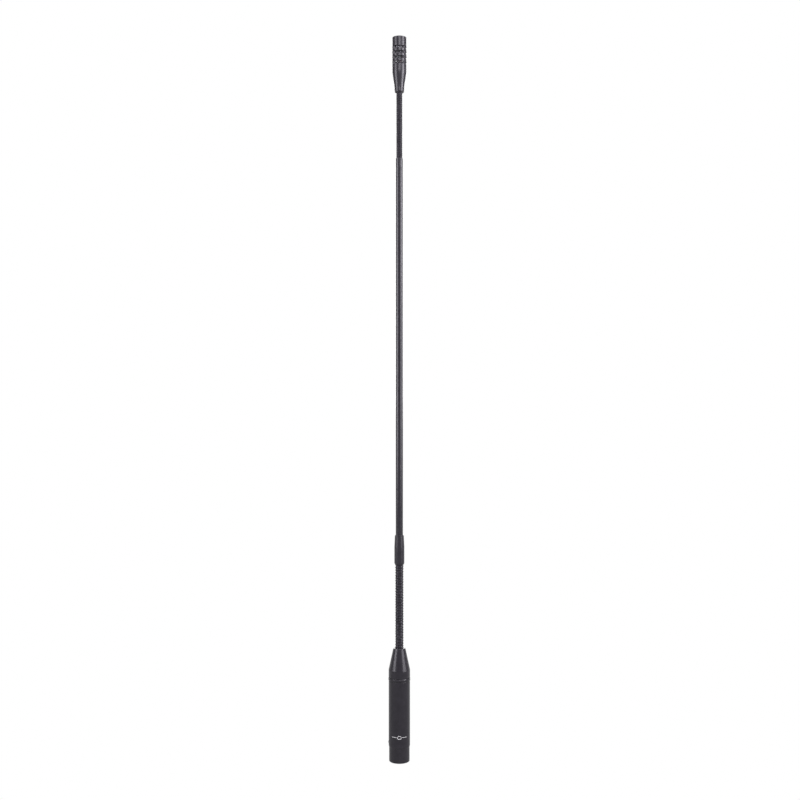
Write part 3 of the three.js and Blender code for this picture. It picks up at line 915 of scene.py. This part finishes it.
def neck_bore(mesh, bottom, top):
    """Adds a plain bore and returns its two end loops."""
    steps = max(1, round((top - bottom) / NECK_STEP))
    rings = []
    for i in range(steps + 1):
        height = bottom + (top - bottom) * i / steps
        rings.append([
            mesh.verts.new(about_axis(NECK_BORE, TURN * k / BORE_SIDES, height)) for k in range(BORE_SIDES)
        ])
    for low, high in zip(rings, rings[1:]):
        for k in range(BORE_SIDES):
            after = (k + 1) % BORE_SIDES
            mesh.faces.new((low[after], low[k], high[k], high[after]))
    return [
        [mesh.edges.get((ring[k], ring[(k + 1) % BORE_SIDES])) for k in range(BORE_SIDES)]
        for ring in (rings[0], rings[-1])
    ]


def wound_tube(radius, pitch, bottom, top):
    """A length of neck: two wires wound side by side outside, a plain bore inside, flat ends."""
    mesh = bmesh.new()
    winding(mesh, radius, pitch, bottom, top)
    rims = [rim(mesh, bottom), rim(mesh, top)]
    for outside, inside in zip(rims, neck_bore(mesh, bottom, top)):
        bmesh.ops.bridge_loops(mesh, edges=outside + inside)
    return mesh


def neck_cable(bottom, top):
    steps = round((top - bottom) / NECK_STEP)
    path = [Vector((0, 0, bottom + (top - bottom) * i / steps)) for i in range(steps + 1)]
    mesh = bmesh.new()
    swept(mesh, path, CABLE_RADIUS, WIRE_SIDES)
    return mesh


def bend_across(item, name, slot, pivot, parent, child, reach, *nodes):
    """Names and shades a piece that lies across one hinge, in place of the CAD nodes, and bakes its place
    into its mesh.
    """
    item.name = item.data.name = name
    shade(item, slot)
    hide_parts(*nodes)
    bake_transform(item)
    return item


def half_spacing(hinges):
    """Half the distance between two neighbouring hinges."""
    return (hinges[-1][0] - hinges[0][0]) / (len(hinges) - 1) / 2


def neck(settings):
    """A neck's winding and cable, in one length for each hinge."""
    name = settings["name"]
    hinges = pivots(settings)
    reach = half_spacing(hinges)
    for i, (pivot, parent, child) in enumerate(hinges, 1):
        bottom = pivot - reach - (NECK_TAIL if i == 1 else 0)
        top = pivot + reach + (NECK_TAIL if i == len(hinges) else 0)
        links = [f"{name}_link_{k}" for k in (i - 1, i) if 0 < k < len(hinges)]
        tube = solid(wound_tube(settings["radius"], settings["pitch"], bottom, top), "tube")
        bend_across(tube, f"{name}_winding_{i}", "neck_black", pivot, parent, child, reach, *links)
        cable = solid(neck_cable(pivot - reach, pivot + reach), "cable")
        bend_across(cable, f"{name}_cable_{i}", "cable_grey", pivot, parent, child, reach, f"cable_in_{name}")


def neck_end(number, settings):
    """Where a neck's wound part ends, at its first (0) or last (-1) hinge, in millimetres."""
    hinges = pivots(settings)
    reach = half_spacing(hinges)
    return hinges[number][0] + (reach if number else -reach)


def ferrule(name, body, bottom, top, flange=None):
    """A swaged neck end: a tube with rounded ends, and a flange where its seat holds it."""
    radius = FERRULE_RADIUS[name]
    corners = [(NECK_BORE, bottom, 0.1), (radius, bottom, 0.2)]
    if flange:
        foot, head = flange
        widest = extent(f"{name}_ferrule")[0]
        corners += [(radius, foot), (widest, foot, 0.15), (widest, head, 0.15), (radius, head)]
    corners += [(radius, top, 0.2), (NECK_BORE, top, 0.1)]
    item = solid(turned(corners, PLAIN), "ferrule")
    return fit(item, f"{name}_ferrule_sleeve", body, "neck_black", f"{name}_ferrule")


def ferrules():
    """The ends of both necks. The cone and the head each hold one by its flange."""
    in_cone = CONE["seat"] - FLANGE["gap"]
    in_head = HEAD["seat"] + FLANGE["gap"]
    for settings, lower_body, upper_body, lower_flange, upper_flange in (
        (LOWER_NECK, "housing", "stem", (in_cone - FLANGE["height"], in_cone), None),
        (UPPER_NECK, "stem", "head", None, (in_head, in_head + FLANGE["height"])),
    ):
        name = f"{settings['name']}_bottom"
        bottom = extent(f"{name}_ferrule")[1]
        ferrule(name, lower_body, bottom, neck_end(0, settings) - NECK_TAIL, lower_flange)
        name = f"{settings['name']}_top"
        top = extent(f"{name}_ferrule")[2]
        ferrule(name, upper_body, neck_end(-1, settings) + NECK_TAIL, top, upper_flange)


# ---------------------------------------------------------------- stem
def coupler():
    radius, bottom, top = extent("coupler")
    sleeve = solid(turned([
        (NECK_SEAT_BORE, bottom, 0.1),
        (COUPLER["end"], bottom, 0.12),
        (radius, bottom + COUPLER["chamfer"], 0.35),
        (radius, COUPLER["taper_from"], 4.0),
        (COUPLER["end"], top, 0.15),
        (COUPLER["tube_bore"], top, 0.08),
        (COUPLER["tube_bore"], COUPLER["step"], 0.05),
        (NECK_SEAT_BORE, COUPLER["step"], 0.05),
    ]), "coupler")
    return fit(sleeve, "coupler_sleeve", "stem", "satin_black", "coupler")


def stem_tube():
    radius, bottom, top = extent("stem_tube")
    inner = radius - STEM_WALL
    tube = solid(turned([
        (inner, bottom, 0.1),
        (radius, bottom, 0.1),
        (radius, top, 0.18),
        (inner, top, 0.12),
    ]), "tube")
    return fit(tube, "stem_tube_wall", "stem", "stem_black", "stem_tube")


# ---------------------------------------------------------------- head
def smoothstep(t):
    return t * t * (3 - 2 * t)


def head_housing():
    radius, bottom, top = extent("head_housing")
    bore = radius - HEAD["wall"]
    steps = 28
    taper = []
    for i in range(steps + 1):
        t = i / steps
        taper.append((
            HEAD["collar"] + (radius - HEAD["collar"]) * smoothstep(t),
            HEAD["taper_from"] + (HEAD["taper_to"] - HEAD["taper_from"]) * t,
        ))
    shell = solid(turned([
        (HEAD["neck_bore"], bottom, 0.1),
        (HEAD["collar"] - 0.35, bottom, 0.2),
        (HEAD["collar"], bottom + 1.3, 0.5),
        *taper,
        (radius, top, 0.45),
        (HEAD["rebate_radius"], top, 0.15),
        (HEAD["rebate_radius"], HEAD["rebate"], 0.05),
        (bore, HEAD["rebate"], 0.1),
        (bore, HEAD["bore_from"], 0.3),
        (HEAD["throat"], HEAD["throat_top"], 0.3),
        (HEAD["throat"], HEAD["seat"], 0.1),
        (HEAD["neck_bore"], HEAD["seat"], 0.05),
    ]), "head")
    size = 4 * radius
    cutters = []
    for row in range(SLOT["rows"]):
        for degrees in SLOT["angles"]:
            height = SLOT["first"] + row * SLOT["pitch"]
            saw = box((size, size, SLOT["height"]), (SLOT["chord"] + size / 2, 0, height))
            saw.data.transform(Matrix.Rotation(math.radians(degrees), 4, "Z"))
            cutters.append(saw)
    cut(shell, *cutters)
    bevel(shell, SLOT["edge"], 50)
    return fit(shell, "head_shell", "head", "satin_black", "head_housing")


def slot_gauze():
    """Gauze rolled into a sleeve behind the slots: upright wires woven with hoops."""
    outer, bottom, top = extent("slot_mesh")
    wire, pitch = GAUZE["wire"], GAUZE["pitch"]
    middle = outer - 2 * wire
    around = 2 * round(math.pi * middle / pitch)
    hoops = int((top - bottom) / pitch)
    mesh = bmesh.new()
    for k in range(around):
        angle = TURN * k / around
        path = []
        for i in range(2 * hoops + 1):
            reach = middle + wire * math.cos(math.pi * (i / 2 + k))
            path.append(Vector((reach * math.cos(angle), reach * math.sin(angle), bottom + i / 2 * pitch)))
        swept(mesh, path, wire * 0.9, 4)
    for i in range(hoops + 1):
        path = []
        for k in range(2 * around):
            angle = TURN * k / 2 / around
            reach = middle - wire * math.cos(math.pi * (k / 2 + i))
            path.append(Vector((reach * math.cos(angle), reach * math.sin(angle), bottom + i * pitch)))
        swept(mesh, path, wire * 0.9, 4, closed=True)
    return fit(solid(mesh, "gauze"), "slot_gauze", "head", "mesh_dark", "slot_mesh")


def front_gauze():
    """A disc of woven gauze with a pressed rim."""
    radius, bottom, top = extent("front_grille")
    wire, pitch = FRONT_GAUZE["wire"], FRONT_GAUZE["pitch"]
    rim_wire = FRONT_GAUZE["rim"]
    reach = radius - 0.2
    middle = (bottom + top) / 2
    mesh = bmesh.new()
    count = int(reach / pitch)
    for turn in (0, 1):
        for k in range(-count, count + 1):
            offset = k * pitch
            half = math.sqrt(reach**2 - offset**2)
            steps = max(4, int(2 * half / pitch * 4))
            path = []
            for i in range(steps + 1):
                along = -half + 2 * half * i / steps
                height = middle + wire * math.cos(math.pi * (along / pitch + k + turn))
                path.append(Vector((along, offset, height) if turn else (offset, along, height)))
            swept(mesh, path, wire * 0.8, 5)
    hoop = []
    hoop_radius = radius - rim_wire
    for k in range(FINE):
        angle = TURN * k / FINE
        hoop.append(Vector((hoop_radius * math.cos(angle), hoop_radius * math.sin(angle), middle)))
    swept(mesh, hoop, rim_wire, 8, closed=True)
    return fit(solid(mesh, "gauze"), "front_gauze", "head", "mesh_dark", "front_grille")


def grille_ring():
    radius, bottom, top = extent("grille_ring")
    ring = solid(turned([
        (RING_BORE, bottom, 0.12),
        (radius, bottom, 0.12),
        (radius, top, 0.12),
        (RING_BORE, top, 0.4),
    ]), "ring")
    return fit(ring, "grille_snap_ring", "head", "satin_black", "grille_ring")


def capsule():
    """The microphone capsule's can, rolled in round a sunk front with its sound holes."""
    radius, bottom, top = extent("capsule")
    port, face = CAPSULE["port"], top - CAPSULE["sunk"]
    can = solid(turned([
        (0, bottom),
        (radius, bottom, 0.5),
        (radius, top, 0.45),
        (port, top, 0.15),
        (port, face, 0.1),
        (0, face),
    ]), "can")
    places = [(0, 0)]
    for k in range(CAPSULE["holes"]):
        angle = TURN * k / CAPSULE["holes"]
        places.append((CAPSULE["hole_circle"] * math.cos(angle), CAPSULE["hole_circle"] * math.sin(angle)))
    cut(can, *[round_cutter(CAPSULE["hole"], face - CAPSULE["hole_depth"], top, x, y) for x, y in places])
    return fit(can, "capsule_can", "head", "capsule_can", "capsule")


def head_rounds():
    """The plain round pieces inside the head: gasket, board and foam."""
    for name, node, slot, bore, corner in (
        ("capsule_gasket_ring", "capsule_gasket", "gasket_rubber", RING_BORE, 0.2),
        ("capsule_circuit_board", "capsule_board", "board_green", 0, 0.08),
        ("wind_foam_disc", "wind_foam", "foam_dark", 0, 0.25),
    ):
        radius, bottom, top = extent(node)
        item = turned([(bore, bottom), (radius, bottom, corner), (radius, top, corner), (bore, top)])
        fit(solid(item, name), name, "head", slot, node)


def capsule_lead(number, slot):
    """An insulated lead from the cable's end to the capsule's board."""
    node = f"capsule_lead_{number}"
    side = math.copysign(1, centre(node).x)
    _, bottom, top = extent(node)
    middle = (bottom + top) / 2
    points = [
        (side * CAPSULE_LEAD["start"], 0, bottom),
        (side * 1.2, 0, middle - 1.5),
        (side * 2.2, 0, middle + 1.5),
        (side * CAPSULE_LEAD["end"], 0, top),
    ]
    return round_wire(f"capsule_lead_wire_{number}", "head", slot, points, CAPSULE_LEAD["radius"], node)


# ---------------------------------------------------------------- stage, light and camera
def mix_shaders(tree, factor, first, second):
    node = tree.nodes.new("ShaderNodeMixShader")
    for source, socket in zip((factor, first, second), node.inputs):
        link(tree, source, socket)
    return node.outputs[0]


def glow(tree, strength=1.0):
    """White light of that strength, a number or a socket."""
    node = tree.nodes.new("ShaderNodeEmission")
    if isinstance(strength, float):
        node.inputs["Strength"].default_value = strength
    else:
        link(tree, strength, node.inputs["Strength"])
    return node.outputs[0]


def floor_material():
    """White to the camera, and to the microphone a glow that is stronger behind it."""
    material = bpy.data.materials.new("pale_floor")
    material.use_nodes = True
    tree = material.node_tree
    tree.nodes.clear()
    material.cycles.emission_sampling = "NONE"
    split = tree.nodes.new("ShaderNodeSeparateXYZ")
    link(tree, tree.nodes.new("ShaderNodeTexCoord").outputs["Object"], split.inputs[0])
    faded = glow(tree, mapped(tree, split.outputs["Y"], *FLOOR_GLOW.values()))
    seen = tree.nodes.new("ShaderNodeLightPath").outputs["Is Camera Ray"]
    output = tree.nodes.new("ShaderNodeOutputMaterial")
    link(tree, mix_shaders(tree, seen, faded, glow(tree)), output.inputs["Surface"])
    return material


def room():
    """A dark room with a bright wall behind the microphone, and plain white to the camera."""
    world = bpy.data.worlds.new("white_room")
    world.use_nodes = True
    bpy.context.scene.world = world
    tree = world.node_tree
    background = tree.nodes["Background"]
    background.inputs["Color"].default_value = (1, 1, 1, 1)
    split = tree.nodes.new("ShaderNodeSeparateXYZ")
    link(tree, tree.nodes.new("ShaderNodeTexCoord").outputs["Generated"], split.inputs[0])
    lit = mapped(tree, split.outputs["Y"], *ROOM.values())
    seen = tree.nodes.new("ShaderNodeLightPath").outputs["Is Camera Ray"]
    choice = tree.nodes.new("ShaderNodeMix")
    link(tree, seen, choice.inputs[0])
    link(tree, lit, choice.inputs[2])
    choice.inputs[3].default_value = 1.0
    link(tree, choice.outputs[0], background.inputs["Strength"])


def stage():
    mesh = bmesh.new()
    bmesh.ops.create_grid(mesh, x_segments=1, y_segments=1, size=FLOOR_HALF)
    bmesh.ops.translate(mesh, vec=(0, 0, cad_low.z - FLOOR_DROP), verts=mesh.verts)
    floor = solid(mesh, "floor")
    floor.data.materials.append(floor_material())
    room()


def softbox(name, azimuth, distance, width, low, high, radiance):
    lamp = bpy.data.lights.new(name, "AREA")
    lamp.shape = "RECTANGLE"
    lamp.size = width
    lamp.size_y = high - low
    lamp.energy = radiance * math.pi * width * (high - low)
    lamp.color = LIGHT_TINT
    item = bpy.data.objects.new(name, lamp)
    angle = math.radians(azimuth)
    place = Vector((distance * math.sin(angle), -distance * math.cos(angle), (low + high) / 2))
    item.location = place
    item.rotation_euler = (math.radians(90), 0, angle)
    item.visible_camera = False
    bpy.context.scene.collection.objects.link(item)


def camera():
    lens = bpy.data.cameras.new("camera")
    lens.lens = CAMERA["lens"]
    lens.sensor_width = CAMERA["sensor"]
    lens.clip_start = 0.01
    lens.clip_end = 200
    item = bpy.data.objects.new("camera", lens)
    item.location = CAMERA["place"]
    item.rotation_euler = (math.radians(90), 0, 0)
    bpy.context.scene.collection.objects.link(item)
    bpy.context.scene.camera = item


camera()
stage()
for box_name, settings in SOFTBOXES.items():
    softbox(box_name, *settings)
bpy.context.scene.view_settings.view_transform = "Standard"

body_tube()
xlr_insert()
for pin_number in (1, 2, 3):
    xlr_pin(pin_number)
insert_screw()
trim_ring()
cone()
pad_print()
earth_contact()
neck_lock_ring()
preamp_board()
for part_number in (1, 2):
    coupling_capacitor(part_number)
    output_transistor(part_number)
for pin_number, lead_slot in enumerate(("lead_white", "lead_red", "cable_grey"), 1):
    pin_lead(pin_number, lead_slot)
cables()
neck(LOWER_NECK)
neck(UPPER_NECK)
ferrules()
coupler()
stem_tube()
head_housing()
slot_gauze()
front_gauze()
grille_ring()
capsule()
head_rounds()
for lead_number, lead_slot in enumerate(("lead_white", "lead_red"), 1):
    capsule_lead(lead_number, lead_slot)
